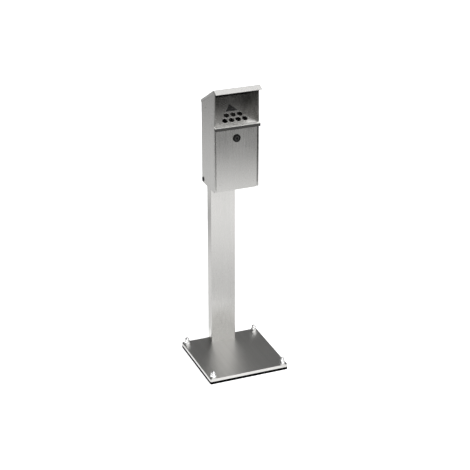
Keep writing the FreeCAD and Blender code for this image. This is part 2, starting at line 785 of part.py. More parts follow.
def edges_along_slope(shape):
    """The two outer upper edges of the roof, above its side flanges."""
    slope = math.radians(size("roof_slope"))
    direction = Vector(0, math.cos(slope), -math.sin(slope))
    rim = size("half_width") + size("sheet_thickness")
    middle_y = (size("head_front") + size("head_back")) / 2
    names = []
    for number, edge in enumerate(shape.Edges, start=1):
        if edge.Curve.TypeId != "Part::GeomLine" or edge.tangentAt(0).cross(direction).Length > 1e-6:
            continue
        spot = edge.CenterOfMass
        top = size("peak") - (spot.y - size("head_front")) * math.tan(slope)
        if abs(abs(spot.x) - rim) < 1e-3 and abs(spot.z - top) < 1e-3 and abs(spot.y - middle_y) < 20:
            names.append(f"Edge{number}")
    return names


def build_stub_plate():
    """Inclined plate with the holes, the folded nose at its front and the strike for the lock."""
    body = new_body("stub_plate")
    sheet = "sheet_thickness"
    profile = [("nose_y", "nose_z"), ("head_front", "sill"), ("plate_end_y", "plate_end_z"),
               ("plate_end_y", "plate_end_z - plate_flange_depth"),
               (f"plate_end_y - {sheet}", "plate_end_z - plate_flange_depth"),
               (f"plate_end_y - {sheet}", f"plate_end_z - {sheet} * tan(plate_slope) - plate_sheet_rise"),
               ("head_front + sill_bend", "sill_under_z"), (f"nose_y + {sheet}", "nose_back_z"),
               (f"nose_foot_y + {sheet}", "shelf_top"),
               ("strike_back", "shelf_top"), ("strike_back", "strike_low"), ("strike_front", "strike_low"),
               ("strike_front", "nose_foot_z"), ("nose_foot_y", "nose_foot_z")]
    pad(body, outline(new_sketch(body, "YZ_Plane"), profile), "head_width", symmetric=True)
    round_cross_edges(body, [(size("nose_y"), size("nose_z"))], "nose_bend_radius")
    round_cross_edges(body, [(size("head_front"), size("sill"))], "bend_radius")
    folds = [(size("plate_end_y"), size("plate_end_z")), (size("nose_foot_y"), size("nose_foot_z")),
             (size("strike_back"), size("shelf_top"))]
    round_cross_edges(body, folds, "inner_bend_radius")
    for side in ("-", ""):
        outer = f"{side}(half_width + {sheet})"
        behind_nose = new_sketch(body, "XY_Plane", "peak")
        box_outline(behind_nose, f"{side}plate_half", outer, "head_front", f"plate_end_y + {sheet}")
        pocket(body, behind_nose, "head_height")
        notch = new_sketch(body, "XY_Plane", "peak")
        box_outline(notch, f"{side}neck_half", outer, "head_front", f"front_inside + {sheet}")
        pocket(body, notch, "head_height")
        strike_end = new_sketch(body, "XY_Plane", "shelf_top + shelf_cut_clearance")
        box_outline(strike_end, f"{side}strike_half", outer, "front_inside", f"strike_back + {sheet}")
        pocket(body, strike_end, "strike_height + 2 * sheet_thickness")
        flange = outline(new_sketch(body, "YZ_Plane", f"{side}plate_half"), side_flange_outline())
        pad(body, flange, sheet, backwards=side == "")
    rows = new_plate_sketch(body)
    for count, distance in ((4, "first_hole_row"), (3, "first_hole_row + hole_row_spacing")):
        for index in range(count):
            round_outline(rows, f"stub_hole_pitch * {index - (count - 1) / 2}", distance, "stub_hole_radius")
    pocket(body, rows, f"8 * {sheet}", symmetric=True)
    side_holes = new_sketch(body, "YZ_Plane")
    for place in ("front", "rear"):
        round_outline(side_holes, f"{place}_rivet_y", f"{place}_rivet_z", "rivet_radius")
    pocket(body, side_holes, "head_width", symmetric=True)


def side_flange_outline():
    """The flange under each side edge of the stub plate, from behind the front flange to the rear fold."""
    start = "front_rivet_y - rivet_inset / 2"
    end = "plate_end_y - 4 * sheet_thickness"
    level = "sill - plate_sheet_rise + ({} - head_front) * tan(plate_slope)"
    return [(start, level.format(start)), (end, level.format(end)),
            (end, level.format(end) + " - plate_flange_depth"),
            (start, level.format(start) + " - plate_flange_depth")]


def build_stub_pad():
    """Triangular stub-out pad with a raised rim, fixed on the plate above the holes."""
    body = new_body("stub_pad")
    outer = [("-pad_width / 2", "pad_start"), ("pad_width / 2", "pad_start"), ("0", "pad_start + pad_height")]
    pad(body, outline(new_plate_sketch(body), outer), "pad_thickness")
    corner = [f"Edge{number}" for number, edge in enumerate(body.Shape.Edges, start=1)
              if abs(edge.Length - size("pad_thickness")) < 1e-4]
    dress(body, "Fillet", corner, "pad_corner_radius")
    inner_half = "pad_width / 2 - pad_rim / tan(pad_base_angle / 2)"
    inner = [(f"-({inner_half})", "pad_start + pad_rim"), (inner_half, "pad_start + pad_rim"),
             ("0", "pad_start + pad_height - pad_rim / cos(pad_base_angle)")]
    sketch = outline(new_plate_sketch(body), inner)
    sketch.setExpression("AttachmentOffset.Base.y", bound("head_front - pad_thickness * sin(plate_slope)"))
    sketch.setExpression("AttachmentOffset.Base.z", bound("sill + pad_thickness * cos(plate_slope)"))
    pocket(body, sketch, "pad_recess")


def pop_rivet(axis, seat, reach, y, z):
    """Rivet with a domed head at seat, standing out along axis, and its closed end reach behind it."""
    back = axis * -1
    sign = "-" if axis.x > 0 else "+"
    head = cylinder("rivet_head_radius", "rivet_head_height", axis, seat, y, z)
    shank = cylinder("rivet_radius", reach, back, seat, y, z)
    tail = cylinder("rivet_radius * 1.5", "rivet_head_height * 1.5", back, f"{seat} {sign} ({reach})", y, z)
    return fuse(head, shank, tail)


def build_stub_plate_rivets():
    """Two blind rivets through each side of the shell into the plate's side flanges."""
    rivets = []
    reach = "2 * sheet_thickness + plate_side_gap"
    for sign, axis in (("-", ALONG_X * -1), ("", ALONG_X)):
        seat = f"{sign}half_width"
        for place in ("front", "rear"):
            rivets.append(pop_rivet(axis, seat, reach, f"{place}_rivet_y", f"{place}_rivet_z"))
    group("stub_plate_rivets", rivets)


# ---- bin ----

def build_front_panel():
    """Front of the bin: a flat sheet with its two sides and its lower edge folded back."""
    body = new_body("front_panel")
    sheet = "sheet_thickness"
    inside = f"front_half - {sheet}"
    back = "head_front + front_return"
    profile = [("-front_half", "head_front"), ("front_half", "head_front"), ("front_half", back),
               (inside, back), (inside, "front_inside"), (f"-({inside})", "front_inside"),
               (f"-({inside})", back), ("-front_half", back)]
    pad(body, outline(new_sketch(body, "XY_Plane", "front_low"), profile), "front_top - front_low")
    front = size("head_front")
    half = size("front_half")
    round_upright_edges(body, [(-half, front), (half, front)], "bend_radius * 0.8")
    lower = box_outline(new_sketch(body, "XY_Plane", "front_low"), f"-({inside})", inside,
                        "front_inside - sheet_thickness / 2", back)
    pad(body, lower, sheet)
    hole = round_outline(new_sketch(body, "XZ_Plane", "-head_front"), "0", "lock_z", "lock_hole")
    pocket(body, hole, sheet)
    rivets = new_sketch(body, "XZ_Plane", "-head_front")
    for x, z in front_rivet_spots():
        round_outline(rivets, x, z, "rivet_radius")
    pocket(body, rivets, sheet)


def front_rivet_spots():
    """Countersunk rivets between the front panel and the bin, flush at the front."""
    return [(f"{side}(bin_half - front_rivet_side_inset)", level) for side in ("-", "")
            for level in ("bin_floor + front_rivet_low_inset", "bin_top - front_rivet_top_inset")]


def build_ash_bin():
    """Open-topped sheet bin behind the front panel, with stops below its rear edge."""
    body = new_body("ash_bin")
    wall = "bin_wall"
    outer = box_outline(new_sketch(body, "XY_Plane", "bin_floor"), "-bin_half", "bin_half", "bin_front",
                        "bin_back")
    pad(body, outer, "bin_top - bin_floor")
    spots = rectangle_spots(size("bin_half"), size("bin_front"), size("bin_back"))
    round_upright_edges(body, spots, "inner_bend_radius + bin_wall")
    inner = box_outline(new_sketch(body, "XY_Plane", "bin_top"), f"-bin_half + {wall}", f"bin_half - {wall}",
                        f"bin_front + {wall}", f"bin_back - {wall}")
    pocket(body, inner, f"bin_top - bin_floor - {wall}")
    inside = rectangle_spots(size("bin_half") - size(wall), size("bin_front") + size(wall),
                             size("bin_back") - size(wall))
    round_upright_edges(body, inside, "inner_bend_radius")
    for side in ("-", ""):
        centre = f"{side}bin_half / 2"
        stop = box_outline(new_sketch(body, "XY_Plane", "pivot_z - stop_drop"),
                           f"{centre} - bin_stop_width / 2", f"{centre} + bin_stop_width / 2",
                           "pivot_y + stop_offset", f"pivot_y + stop_offset + {wall}")
        pad(body, stop, "bin_floor - pivot_z + stop_drop + bin_wall")
    pins = round_outline(new_sketch(body, "YZ_Plane"), "pivot_y", "pivot_z", "pin_neck_radius")
    pocket(body, pins, "head_width", symmetric=True)
    rivets = new_sketch(body, "XZ_Plane", "-bin_front")
    for x, z in front_rivet_spots():
        round_outline(rivets, x, z, "rivet_radius")
    pocket(body, rivets, wall)


def build_bin_rivets():
    rivets = []
    for x, z in front_rivet_spots():
        shank = cylinder("rivet_radius", "sheet_thickness + bin_wall", ALONG_Y, x, "head_front", z)
        tail = cylinder("rivet_radius * 1.5", "rivet_head_height * 1.5", ALONG_Y, x,
                        "bin_front + bin_wall", z)
        rivets.append(fuse(shank, tail))
    group("bin_rivets", rivets)


def build_pivots():
    """A shouldered pin riveted to each side of the bin, in a plastic bush clipped into the shell."""
    for side, sign in SIDES.items():
        outward = ALONG_X * sign
        mark = "-" if sign < 0 else ""
        y = "pivot_y"
        z = "pivot_z"
        journal = cylinder("pin_radius", "bore_end - pin_end_gap - bin_half", outward, mark + "bin_half", y, z)
        neck = cylinder("pin_neck_radius", "bin_wall", outward, f"{mark}(bin_half - bin_wall)", y, z)
        head = cylinder("pin_head_radius", "bin_wall", outward, f"{mark}(bin_half - 2 * bin_wall)", y, z)
        keep(fuse(journal, neck, head), f"pivot_pin_{side}")
        barrel = cylinder("bush_barrel_radius", "bush_length", outward, f"{mark}bush_inner", y, z)
        flange = cylinder("bush_flange_radius", "bush_flange_thickness", outward, f"{mark}half_width", y, z)
        bore = cylinder("bore_radius", "bore_end - bush_inner", outward, f"{mark}bush_inner", y, z)
        keep(cut(fuse(barrel, flange), bore), f"pivot_bush_{side}")


# ---- lock ----

def build_lock():
    """Quarter-turn lock: housing and nut on the front panel; insert, cam, washer and screw turn together."""
    z = "lock_z"
    y_face = "head_front - lock_face_thickness"
    face = cylinder("lock_face_radius", "lock_face_thickness", ALONG_Y, "0", y_face, z)
    doc.recompute()
    rounding = size("lock_face_rounding")
    rim = [number for number, edge in enumerate(face.Shape.Edges, start=1)
           if edge.Curve.TypeId == "Part::GeomCircle" and edge.BoundBox.YMax < size("head_front") - 0.1]
    rounded = doc.addObject("Part::Fillet", "rounded_face")
    rounded.Base = face
    rounded.Edges = [(number, rounding, rounding) for number in rim]
    doc.recompute()
    barrel = cylinder("lock_barrel_radius", "lock_barrel_end - head_front", ALONG_Y, "0", "head_front", z)
    bore = cylinder("insert_radius + running_clearance", "lock_barrel_end - head_front + lock_face_thickness",
                    ALONG_Y, "0", y_face, z)
    keep(cut(fuse(rounded, barrel), bore), "lock_housing")

    nut = hexagon("lock_nut_width", "lock_nut_thickness", ALONG_Y, "0", "front_inside", z)
    thread = cylinder("lock_barrel_radius + thread_clearance", "lock_nut_thickness", ALONG_Y, "0",
                      "front_inside", z)
    keep(cut(nut, thread), "lock_nut")

    insert_face = f"{y_face} + insert_face_inset"
    drum = cylinder("insert_radius", f"lock_barrel_end - ({insert_face})", ALONG_Y, "0", insert_face, z)
    shoulder = cylinder("insert_square * 0.75", "cam_front - lock_barrel_end", ALONG_Y, "0",
                        "lock_barrel_end", z)
    square = block("-insert_square / 2", "insert_square / 2", "lock_barrel_end", "cam_back",
                   f"{z} - insert_square / 2", f"{z} + insert_square / 2")
    moat = cut(cylinder("insert_radius * 0.8", "moat_depth", ALONG_Y, "0", insert_face, z),
               cylinder("insert_radius * 0.62", "moat_depth", ALONG_Y, "0", insert_face, z))
    socket = block("-key_socket_side / 2", "key_socket_side / 2", insert_face,
                   f"{insert_face} + key_socket_depth", f"{z} - key_socket_side / 2",
                   f"{z} + key_socket_side / 2")
    screw_bore = cylinder("cam_screw_radius + thread_clearance", "cam_screw_length + 1", ALONG_Y, "0",
                          "cam_back - cam_screw_length - 1", z)
    keep(cut(fuse(drum, shoulder, square), moat, socket, screw_bore), "lock_insert")

    build_cam()

    washer = cylinder("cam_washer_radius", "cam_washer_thickness", ALONG_Y, "0", "cam_back", z)
    washer_hole = cylinder("cam_screw_radius + thread_clearance", "cam_washer_thickness", ALONG_Y, "0",
                           "cam_back", z)
    keep(cut(washer, washer_hole), "cam_washer")
    head_seat = "cam_back + cam_washer_thickness"
    head = hexagon("cam_screw_head_radius * 2 * cos(30)", "cam_screw_head_height", ALONG_Y, "0", head_seat, z)
    shank = cylinder("cam_screw_radius", "cam_screw_length + cam_washer_thickness", ALONG_Y, "0",
                     "cam_back - cam_screw_length", z)
    keep(fuse(head, shank), "cam_screw")


def build_cam():
    """Steel tongue, level when unlocked; a quarter turn puts its end up behind the strike."""
    body = new_body("lock_cam")
    half = "cam_width / 2"
    sketch = new_sketch(body, "XZ_Plane", "-cam_back")
    box_outline(sketch, f"-{half}", "cam_length", f"lock_z - {half}", f"lock_z + {half}")
    pad(body, sketch, "cam_thickness")
    corners = edges_along(body.Shape, ALONG_Y, [Vector(x, 0, size("lock_z") + up * size("cam_width") / 2)
                                                for x in (-size("cam_width") / 2, size("cam_length"))
                                                for up in (-1, 1)])
    dress(body, "Fillet", corners, "cam_width * 0.3")
    hole = new_sketch(body, "XZ_Plane", "-cam_front")
    side = "insert_square / 2 + thread_clearance"
    box_outline(hole, f"-({side})", side, f"lock_z - ({side})", f"lock_z + {side}")
    pocket(body, hole, "cam_thickness")


build_base_plate()
build_rubber_mat()
build_base_fasteners()
build_post_tube()
build_post_foot()
build_post_cap()
build_bracket()
build_bracket_fasteners()
build_body_shell()
build_roof()
build_stub_plate()
build_stub_pad()
build_stub_plate_rivets()
build_front_panel()
build_ash_bin()
build_bin_rivets()
build_pivots()
build_lock()
doc.recompute()

for item in doc.Objects:
    assert not {"Invalid", "Error"} & set(item.State), f"{item.Label} ({item.Name}) failed: {item.State}"
for part in subparts:
    assert not part.Shape.isNull() and part.Shape.isValid(), f"{part.Label} has no valid shape"

os.makedirs("parts", exist_ok=True)
for part in subparts:
    part.Shape.exportStep(f"parts/{part.Label}.step")
    print(f"{part.Label}: {len(part.Shape.Solids)} solid(s), {part.Shape.Volume / 1000:.2f} cm3")
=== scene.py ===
"""A free-standing stainless steel ashtray bin on a pale studio floor."""
import json
import math

import bpy
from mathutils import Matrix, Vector


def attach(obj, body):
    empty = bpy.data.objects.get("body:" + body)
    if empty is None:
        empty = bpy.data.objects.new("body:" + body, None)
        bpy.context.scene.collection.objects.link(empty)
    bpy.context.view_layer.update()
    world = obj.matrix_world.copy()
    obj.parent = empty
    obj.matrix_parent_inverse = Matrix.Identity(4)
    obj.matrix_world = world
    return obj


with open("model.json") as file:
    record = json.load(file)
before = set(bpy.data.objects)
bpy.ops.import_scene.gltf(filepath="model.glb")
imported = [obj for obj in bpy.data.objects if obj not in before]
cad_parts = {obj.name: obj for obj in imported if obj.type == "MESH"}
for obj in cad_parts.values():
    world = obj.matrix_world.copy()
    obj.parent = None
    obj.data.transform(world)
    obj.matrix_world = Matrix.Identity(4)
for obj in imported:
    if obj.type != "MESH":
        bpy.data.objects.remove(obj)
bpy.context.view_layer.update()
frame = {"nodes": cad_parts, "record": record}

nodes = frame["nodes"]
scene = bpy.context.scene
MM = 0.001


# ---------------------------------------------------------------- camera and light

CAMERA_PLACE = Vector((-1.74386, -4.32326, 2.63661))
CAMERA_AZIMUTH = math.radians(-22.01)
CAMERA_DOWN = math.radians(24.64)
CAMERA_LENS = 110.75

camera_data = bpy.data.cameras.new("camera")
camera_data.sensor_width = 36.0
camera_data.lens = CAMERA_LENS
camera_data.clip_end = 200.0
camera = bpy.data.objects.new("camera", camera_data)
camera.location = CAMERA_PLACE
camera.rotation_euler = (math.pi / 2 - CAMERA_DOWN, 0.0, CAMERA_AZIMUTH)
scene.collection.objects.link(camera)
scene.camera = camera
scene.view_settings.view_transform = "Standard"
scene.view_settings.look = "None"


class Tree:
    """Short calls that add nodes to a material's or the world's node tree."""

    def __init__(self, owner):
        owner.use_nodes = True
        self.tree = owner.node_tree
        self.tree.nodes.clear()

    def add(self, kind, inputs=None, **settings):
        made = self.tree.nodes.new(kind)
        for name, value in settings.items():
            setattr(made, name, value)
        for socket, value in (inputs or {}).items():
            self.feed(made.inputs[socket], value)
        return made

    def feed(self, socket, value):
        if isinstance(value, bpy.types.NodeSocket):
            self.tree.links.new(value, socket)
        else:
            socket.default_value = value

    def math(self, operation, first, second=0.0, clamp=False):
        made = self.add("ShaderNodeMath", {0: first, 1: second}, operation=operation)
        made.use_clamp = clamp
        return made.outputs[0]

    def ramp(self, factor, stops, smooth=False):
        """A colour ramp; stops are (place, grey or colour)."""
        made = self.add("ShaderNodeValToRGB", {0: factor})
        if smooth:
            made.color_ramp.interpolation = "EASE"
        elements = made.color_ramp.elements
        while len(elements) > 1:
            elements.remove(elements[-1])
        for index, (place, tone) in enumerate(stops):
            if index == 0:
                elements[0].position = place
            element = elements[0] if index == 0 else elements.new(place)
            colour = tone if isinstance(tone, tuple) else (tone, tone, tone)
            element.color = (*colour, 1.0)
        return made.outputs[0]

    def spread(self, value, low, high, to_low, to_high):
        """Moves a value from one range to another and keeps it inside."""
        made = self.add("ShaderNodeMapRange", {0: value, 1: low, 2: high, 3: to_low, 4: to_high})
        return made.outputs[0]

    def place(self):
        return self.add("ShaderNodeTexCoord").outputs["Object"]

    def noise(self, place, size, detail=2.0, rough=0.5, offset=0.0):
        """Noise whose cells measure size (x, y, z) in metres."""
        factors = tuple(1.0 / length for length in size)
        mapped = self.add(
            "ShaderNodeMapping", {0: place, 1: (offset, offset * 0.7, offset * 1.3), 3: factors}
        )
        made = self.add("ShaderNodeTexNoise", {0: mapped.outputs[0]})
        made.inputs["Scale"].default_value = 1.0
        made.inputs["Detail"].default_value = detail
        made.inputs["Roughness"].default_value = rough
        return made.outputs[0]


def floor_object(name, half, height):
    """A flat square that lies level at a height."""
    mesh = bpy.data.meshes.new(name)
    corners = [(-half, -half, height), (half, -half, height), (half, half, height), (-half, half, height)]
    mesh.from_pydata(corners, [], [(0, 1, 2, 3)])
    made = bpy.data.objects.new(name, mesh)
    scene.collection.objects.link(made)
    return made


# The floor that the camera sees: white, with a soft shadow.
floor = floor_object("studio_floor", 24.0, 0.0)
floor_material = bpy.data.materials.new("studio_floor")
tree = Tree(floor_material)
shadowed = tree.add("ShaderNodeBsdfDiffuse", {"Color": (0.9, 0.9, 0.9, 1.0)})
glow = tree.add("ShaderNodeEmission", {"Color": (1.0, 1.0, 1.0, 1.0), "Strength": 0.75})
both = tree.add("ShaderNodeAddShader", {0: shadowed.outputs[0], 1: glow.outputs[0]})
tree.add("ShaderNodeOutputMaterial", {0: both.outputs[0]})
floor.data.materials.append(floor_material)
floor.visible_glossy = False

# The floor that the steel mirrors: a pool of light around the object that fades with distance.
mirrored = floor_object("mirrored_floor", 60.0, -0.0005)
mirrored_material = bpy.data.materials.new("mirrored_floor")
tree = Tree(mirrored_material)
spot = tree.place()
distance = tree.add("ShaderNodeVectorMath", {0: spot}, operation="LENGTH").outputs["Value"]
reach = tree.spread(distance, 0.0, 4.0, 0.0, 1.0)
in_front = tree.ramp(
    reach,
    [(0.0, 1.5), (0.055, 1.5), (0.07, 0.8), (0.13, 0.85), (0.18, 0.98), (0.25, 1.18), (0.33, 1.35), (0.385, 1.25), (0.435, 1.0), (0.475, 0.8),
     (0.5, 0.6), (0.53, 0.2), (0.57, 0.1), (0.68, 0.16), (0.76, 0.35), (1.0, 0.42)],
)
behind = tree.ramp(
    reach,
    [(0.0, 1.5), (0.055, 1.5), (0.07, 0.95), (0.22, 0.98), (0.28, 0.75), (0.34, 0.5), (0.37, 0.7), (0.4, 0.86), (0.47, 0.78),
     (0.58, 0.66), (0.75, 0.4), (1.0, 0.42)],
)
where = tree.add("ShaderNodeSeparateXYZ", {0: spot})
rearward = tree.math("SUBTRACT", where.outputs[1], where.outputs[0])
facing = tree.spread(rearward, -0.3, 0.3, 1.0, 0.0)
pool = tree.add("ShaderNodeMix", {0: facing, 6: behind, 7: in_front}, data_type="RGBA")
glow = tree.add("ShaderNodeEmission", {"Color": pool.outputs[2], "Strength": 1.0})
tree.add("ShaderNodeOutputMaterial", {0: glow.outputs[0]})
mirrored.data.materials.append(mirrored_material)
mirrored.visible_camera = False
mirrored.visible_diffuse = False
mirrored.visible_shadow = False

# The backdrop that the camera sees above the floor.
BACKDROP_RADIUS = 22.0
BACKDROP_HEIGHT = 24.0
BACKDROP_SIDES = 96
backdrop_mesh = bpy.data.meshes.new("studio_backdrop")
turns = [2.0 * math.pi * side / BACKDROP_SIDES for side in range(BACKDROP_SIDES)]
rings = [(BACKDROP_RADIUS * math.cos(turn), BACKDROP_RADIUS * math.sin(turn), height)
         for height in (-1.0, BACKDROP_HEIGHT) for turn in turns]
walls = [(side, (side + 1) % BACKDROP_SIDES, BACKDROP_SIDES + (side + 1) % BACKDROP_SIDES, BACKDROP_SIDES + side)
         for side in range(BACKDROP_SIDES)]
backdrop_mesh.from_pydata(rings, [], walls + [tuple(range(BACKDROP_SIDES, 2 * BACKDROP_SIDES))])
backdrop = bpy.data.objects.new("studio_backdrop", backdrop_mesh)
scene.collection.objects.link(backdrop)
backdrop_material = bpy.data.materials.new("studio_backdrop")
tree = Tree(backdrop_material)
glow = tree.add("ShaderNodeEmission", {"Color": (1.0, 1.0, 1.0, 1.0), "Strength": 1.0})
tree.add("ShaderNodeOutputMaterial", {0: glow.outputs[0]})
backdrop.data.materials.append(backdrop_material)
backdrop.visible_glossy = False
backdrop.visible_diffuse = False
backdrop.visible_shadow = False

# What the steel mirrors above the floor: a dark room with one soft box in front and one overhead.
DARK_ROOM = 0.16
SOFT_BOXES = [
    ((-0.12, -0.86, 0.47), 26.0, 42.0, 1.2),
    ((0.34, 0.14, 0.93), 20.0, 32.0, 1.15),
    ((0.34, -0.45, 0.82), 14.0, 26.0, 1.3),
]

world = bpy.data.worlds.new("studio")
scene.world = world
tree = Tree(world)
direction = tree.add("ShaderNodeTexCoord").outputs["Generated"]
brightness = DARK_ROOM
for towards, core, edge, strength in SOFT_BOXES:
    aligned = tree.add(
        "ShaderNodeVectorMath", {0: direction, 1: Vector(towards).normalized()}, operation="DOT_PRODUCT"
    ).outputs["Value"]
    glow = tree.spread(aligned, math.cos(math.radians(edge)), math.cos(math.radians(core)), 0.0, strength)
    brightness = tree.math("ADD", glow, brightness)
background = tree.add("ShaderNodeBackground", {0: (1.0, 1.0, 1.0, 1.0), 1: brightness})
tree.add("ShaderNodeOutputWorld", {0: background.outputs[0]})


def soft_light(name, place, aim, width, height, power):
    """A soft box that hangs at a place and points at another."""
    data = bpy.data.lights.new(name, "AREA")
    data.shape = "RECTANGLE"
    data.size = width
    data.size_y = height
    data.energy = power
    made = bpy.data.objects.new(name, data)
    made.location = place
    made.rotation_euler = (Vector(aim) - Vector(place)).to_track_quat("-Z", "Y").to_euler()
    scene.collection.objects.link(made)
    return made


soft_light("left_light", (-3.2, -2.2, 2.6), (0.0, 0.0, 0.5), 1.6, 1.6, 20.0)
soft_light("right_light", (3.4, -1.6, 2.2), (0.0, 0.0, 0.6), 1.4, 1.8, 15.0)


# ---------------------------------------------------------------- materials

def tilted_back(degrees):
    """The direction up a sheet that rises to the rear at an angle."""
    angle = math.radians(degrees)
    return (0.0, math.cos(angle), math.sin(angle))


PLATE_SLOPE = 35.5
UPRIGHT = (0.0, 0.0, 1.0)
FRONT_TO_BACK = (0.0, 1.0, 0.0)
ACROSS = (1.0, 0.0, 0.0)
DOWN_ROOF = tilted_back(-30.0)


def brushed_steel(name, grain, tint, rough, band=0.05, offset=0.0, stretch=0.6, relief=0.07, shade_painted_underneath=False, nose_painted_light=False):
    """Stainless steel, brushed in one direction; a sheet may get painted shade on its downward-facing side, darker
    towards the back, and a painted highlight and painted shade on its nose.
    """
    material = bpy.data.materials.new(name)
    tree = Tree(material)
    turn = Vector(grain).rotation_difference(Vector(UPRIGHT)).to_euler()
    place = tree.add("ShaderNodeMapping", {0: tree.place(), 2: turn}).outputs[0]
    fine = tree.noise(place, (0.5 * MM, 0.5 * MM, 45 * MM), 3.0, 0.6, offset)
    lines = tree.noise(place, (2.5 * MM, 2.5 * MM, 160 * MM), 3.0, 0.6, offset + 3.1)
    bands = tree.noise(place, (14 * MM, 14 * MM, 600 * MM), 2.0, 0.5, offset + 7.7)
    clouds = tree.noise(place, (70 * MM, 70 * MM, 90 * MM), 3.0, 0.55, offset + 11.3)
    handled = tree.spread(
        tree.noise(place, (28 * MM, 28 * MM, 40 * MM), 4.0, 0.6, offset + 17.9), 0.55, 0.75, 0.0, 1.0
    )
    tone = tree.math("ADD", tree.spread(fine, 0.3, 0.7, -band * 0.5, band * 0.5),
                     tree.spread(lines, 0.3, 0.7, -band * 0.6, band * 0.6))
    tone = tree.math("ADD", tone, tree.spread(bands, 0.3, 0.7, -band, band))
    tone = tree.math("ADD", tone, tree.spread(clouds, 0.3, 0.7, -band * 0.6, band * 0.6))
    lightness = tree.math("ADD", tone, 1.0)
    # Painted shade: the downward-facing side is darkened, down to 0.2 towards the back, to stand in for the shade
    # inside the mouth under the roof, with a little random mottling on top.
    if shade_painted_underneath:
        normal = tree.add("ShaderNodeNewGeometry").outputs["True Normal"]
        facing_down = tree.add("ShaderNodeSeparateXYZ", {0: normal}).outputs[2]
        back = tree.add("ShaderNodeSeparateXYZ", {0: tree.place()}).outputs[1]
        soot_and_painted_shade = tree.math("ADD", tree.spread(clouds, 0.35, 0.7, -0.06, 0.06),
                         tree.spread(back, -20 * MM, 45 * MM, 0.95, 0.2))
        shade = tree.add("ShaderNodeMix", {0: tree.spread(facing_down, -0.5, -0.2, 1.0, 0.0), 2: 1.0, 3: soot_and_painted_shade})
        lightness = tree.math("MULTIPLY", lightness, shade.outputs[0])
    # Painted light on the nose in front of the sill: its upward-facing top is brightened up to 1.5 times as a painted
    # highlight, and its steep face is darkened to 0.22 as painted shade.
    if nose_painted_light:
        geometry = tree.add("ShaderNodeNewGeometry")
        facing_up = tree.add("ShaderNodeSeparateXYZ", {0: geometry.outputs["True Normal"]}).outputs[2]
        depth = tree.add("ShaderNodeSeparateXYZ", {0: tree.place()}).outputs[1]
        on_nose = tree.spread(depth, -26 * MM, -25 * MM, 1.0, 0.0)
        on_shelf = tree.math("MULTIPLY", on_nose, tree.spread(facing_up, 0.5, 0.9, 0.0, 1.0))
        marks_and_painted_light = tree.spread(facing_up, 0.3, 0.9, 0.22, 1.5)
        nose_shade_and_highlight = tree.add("ShaderNodeMix", {0: on_nose, 2: 1.0, 3: marks_and_painted_light}).outputs[0]
        lightness = tree.math("MULTIPLY", lightness, nose_shade_and_highlight)
    colour = tree.add(
        "ShaderNodeVectorMath", {0: tint, "Scale": lightness}, operation="SCALE"
    ).outputs[0]
    worn = tree.math("ADD", tree.spread(fine, 0.3, 0.7, -0.025, 0.03), tree.spread(clouds, 0.3, 0.7, -0.02, 0.02))
    worn = tree.math("ADD", worn, tree.spread(lines, 0.3, 0.7, -0.02, 0.02))
    worn = tree.math("ADD", worn, tree.math("MULTIPLY", handled, 0.035))
    if nose_painted_light:
        worn = tree.math("ADD", worn, tree.math("MULTIPLY", on_shelf, 0.3))
    roughness = tree.math("ADD", worn, rough, clamp=True)
    bump = tree.add(
        "ShaderNodeBump", {"Strength": relief, "Distance": 0.02 * MM, "Height": fine}
    )
    slanted = (Vector(grain) + Vector((0.04, 0.05, 0.03))).normalized()
    along = tree.add(
        "ShaderNodeVectorTransform", {0: tree.add("ShaderNodeCombineXYZ", dict(enumerate(slanted))).outputs[0]},
        vector_type="VECTOR", convert_from="OBJECT", convert_to="WORLD",
    )
    shader = tree.add(
        "ShaderNodeBsdfPrincipled",
        {"Base Color": colour, "Metallic": 1.0, "Roughness": roughness, "Normal": bump.outputs[0],
         "Tangent": along.outputs[0], "Anisotropic": stretch, "Anisotropic Rotation": 0.25},
    )
    tree.add("ShaderNodeOutputMaterial", {0: shader.outputs[0]})
    return material


def smooth_metal(name, tint, rough, mottle=0.03, size=4 * MM):
    """A bright metal without grain: turned, plated or cast."""
    material = bpy.data.materials.new(name)
    tree = Tree(material)
    place = tree.place()
    marks_and_painted_light = tree.noise(place, (size, size, size), 4.0, 0.6)
    rings = tree.noise(place, (size * 5, size * 5, 0.4 * MM), 2.0, 0.5, 5.0)
    tone = tree.math("ADD", tree.spread(marks_and_painted_light, 0.3, 0.7, 1.0 - mottle, 1.0 + mottle), 0.0)
    colour = tree.add("ShaderNodeVectorMath", {0: tint, "Scale": tone}, operation="SCALE").outputs[0]
    worn = tree.math("ADD", tree.spread(marks_and_painted_light, 0.35, 0.7, rough * 0.7, rough * 1.3),
                     tree.spread(rings, 0.3, 0.7, 0.0, rough * 0.2))
    bump = tree.add("ShaderNodeBump", {"Strength": 0.12, "Distance": 0.02 * MM, "Height": marks_and_painted_light})
    shader = tree.add(
        "ShaderNodeBsdfPrincipled",
        {"Base Color": colour, "Metallic": 1.0, "Roughness": worn, "Normal": bump.outputs[0]},
    )
    tree.add("ShaderNodeOutputMaterial", {0: shader.outputs[0]})
    return material


